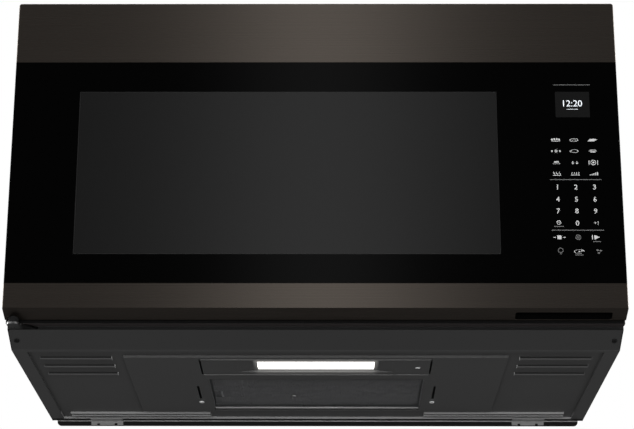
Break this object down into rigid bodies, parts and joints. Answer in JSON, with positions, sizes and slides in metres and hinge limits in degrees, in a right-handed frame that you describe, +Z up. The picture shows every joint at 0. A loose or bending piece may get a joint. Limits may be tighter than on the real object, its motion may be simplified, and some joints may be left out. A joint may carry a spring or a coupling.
{
  "type": "over the range microwave",
  "caption": "Wall-hung microwave oven with a hood: full-width left-hinged door with touch keys and finger pocket, lamp, mesh filter and wall plate.",
  "frame": {"origin": "on the wall, at the back face of the wall plate, centred on the width and level with the flat bottom of the case", "axes": "+Z up, front of the door faces -Y, wall is at +Y, +X to the right seen from the front"},
  "size_m": [0.76, 0.464, 0.4463],
  "materials": {
    "case_paint": "satin dark grey paint",
    "pan_paint": "fine satin charcoal paint",
    "plate_paint": "satin black paint",
    "zinc": "plain zinc-coated sheet",
    "enamel": "smooth grey enamel",
    "door_enamel": "black enamel",
    "mica": "flat mica sheet",
    "magnet": "dark magnet and copper",
    "core_steel": "stacked lamination steel",
    "copper": "enamelled winding wire",
    "aluminium": "drawn can",
    "black_plastic": "moulded black plastic",
    "wheel_plastic": "natural white plastic",
    "motor": "plated motor shell",
    "shaft_steel": "ground steel",
    "board": "printed circuit board",
    "charcoal": "charcoal pad in a card frame",
    "mesh": "layered expanded aluminium",
    "lens": "frosted clear lens",
    "lamp_glass": "plated lamp housing with a bulb",
    "black_glass": "tempered glass printed black on its back",
    "clear_glass": "clear tempered glass",
    "door_steel": "dark stainless steel, brushed along the width"
  },
  "bodies": {
    "case": {"back_panel": "zinc", "base_pan": "pan_paint", "bay_floor": "zinc", "blower_housing": "zinc", "blower_motor": "motor", "bolt_plates": "zinc", "capacitor": "aluminium", "cavity": "enamel", "cavity_lamp": "lamp_glass", "charcoal_filter": "charcoal", "cord_bushing": "case_paint", "exhaust_cover": "case_paint", "fan_motor": "motor", "fan_shroud": "black_plastic", "filter_frame": "zinc", "filter_mesh": "mesh", "filter_pull": "zinc", "front_frame": "pan_paint", "interlock_bracket": "black_plastic", "interlock_switches": "black_plastic", "lamp_cover": "pan_paint", "lamp_lens": "lens", "lower_hinge": "zinc", "magnetron_core": "magnet", "magnetron_yoke": "zinc", "power_board": "board", "screws": "zinc", "support_tabs": "zinc", "thermal_cutouts": "motor", "top_grille": "black_plastic", "transformer_coils": "copper", "transformer_core": "core_steel", "turntable_motor": "motor", "upper_hinge": "zinc", "wall_plate": "plate_paint", "waveguide": "zinc", "waveguide_cover": "mica", "wrapper": "case_paint"},
    "door": {"door_carrier": "black_plastic", "door_glass": "black_glass", "door_top_trim": "door_steel", "door_bottom_trim": "door_steel", "door_grip": "black_plastic", "choke_panel": "door_enamel", "choke_cover": "black_plastic", "inner_glass": "clear_glass", "display_board": "board", "touch_holder": "black_plastic", "door_bushes": "wheel_plastic"},
    "latch": {"latch_bar": "black_plastic"},
    "turntable": {"turntable_tray": "clear_glass", "coupler": "wheel_plastic"},
    "ring": {"roller_ring": "wheel_plastic"},
    "roller_one": {"roller_1": "wheel_plastic"},
    "roller_two": {"roller_2": "wheel_plastic"},
    "roller_three": {"roller_3": "wheel_plastic"},
    "blower_rotor": {"blower_shaft": "shaft_steel", "blower_wheel_left": "wheel_plastic", "blower_wheel_right": "wheel_plastic"},
    "fan_rotor": {"fan_wheel": "black_plastic"}
  },
  "joints": [
    {"name": "door_hinge", "type": "hinge", "parent": "case", "child": "door", "pos_m": [-0.369, -0.44, 0.2], "axis": [0, 0, -1], "range_deg": [0, 110]},
    {"name": "latch_slide", "type": "slide", "parent": "door", "child": "latch", "axis": [0, 0, 1], "range_m": [0, 0.006], "stiffness_N_per_m": 300, "springref_m": -0.008},
    {"name": "turntable_spin", "type": "hinge", "parent": "case", "child": "turntable", "pos_m": [-0.035, -0.236, 0.09], "axis": [0, 0, 1], "continuous": true},
    {"name": "ring_spin", "type": "hinge", "parent": "case", "child": "ring", "pos_m": [-0.035, -0.236, 0.0833], "axis": [0, 0, 1], "continuous": true},
    {"name": "blower_spin", "type": "hinge", "parent": "case", "child": "blower_rotor", "pos_m": [0, -0.084, 0.386], "axis": [1, 0, 0], "continuous": true},
    {"name": "fan_spin", "type": "hinge", "parent": "case", "child": "fan_rotor", "pos_m": [0.307, -0.084, 0.15], "axis": [0, 1, 0], "continuous": true},
    {"name": "roller_one_spin", "type": "hinge", "parent": "ring", "child": "roller_one", "pos_m": [-0.035, -0.131, 0.0833], "axis": [0, 1, 0], "continuous": true},
    {"name": "roller_two_spin", "type": "hinge", "parent": "ring", "child": "roller_two", "pos_m": [-0.12593, -0.2885, 0.0833], "axis": [-0.866, -0.5, 0], "continuous": true},
    {"name": "roller_three_spin", "type": "hinge", "parent": "ring", "child": "roller_three", "pos_m": [0.05593, -0.2885, 0.0833], "axis": [0.866, -0.5, 0], "continuous": true}
  ],
  "couplings": [
    {"joint": "ring_spin", "follows": "turntable_spin", "ratio": 0.5},
    {"joint": "roller_one_spin", "follows": "turntable_spin", "ratio": -6.5625},
    {"joint": "roller_two_spin", "follows": "turntable_spin", "ratio": -6.5625},
    {"joint": "roller_three_spin", "follows": "turntable_spin", "ratio": -6.5625}
  ]
}
